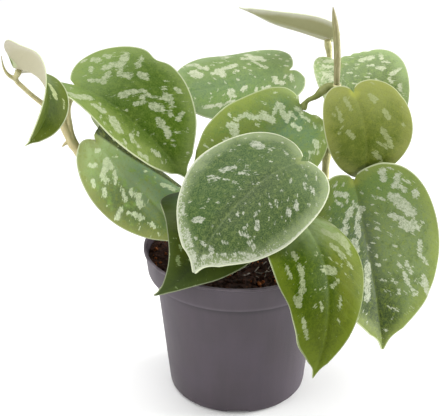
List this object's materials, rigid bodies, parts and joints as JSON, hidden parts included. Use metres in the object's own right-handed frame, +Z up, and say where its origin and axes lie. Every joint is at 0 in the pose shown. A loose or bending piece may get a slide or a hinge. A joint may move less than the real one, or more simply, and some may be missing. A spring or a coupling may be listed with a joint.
{
  "type": "potted satin pothos",
  "caption": "Young satin pothos with heart-shaped silver-splashed leaves on arching stalks, rooted in peat in a plain grey nursery pot.",
  "frame": {"origin": "middle of the flat pad under the pot, on the surface the pot stands on", "axes": "+Z up along the pot's axis, -Y towards the side the largest leaves hang to, +X to the right seen from there"},
  "size_m": [0.2714, 0.169, 0.253],
  "materials": {
    "pot": "satin moulded plastic",
    "soil": "moist crumbly peat",
    "stem": "smooth living stem",
    "leaf": "satin leaf with matte silver patches",
    "young_leaf": "soft pale young leaf"
  },
  "bodies": {
    "root": {"pot": "pot", "soil": "soil", "stem_left": "stem", "stem_right": "stem", "leaf_front": "leaf", "leaf_lower_right": "leaf", "leaf_over_rim": "leaf", "leaf_upper_left": "leaf", "leaf_lower_left": "leaf", "leaf_centre": "leaf", "leaf_upper_centre": "leaf", "leaf_upper_right": "leaf", "leaf_right": "leaf", "leaf_folded": "leaf", "leaf_far_left": "leaf", "leaf_top": "young_leaf", "leaf_rolled": "young_leaf"}
  },
  "joints": []
}
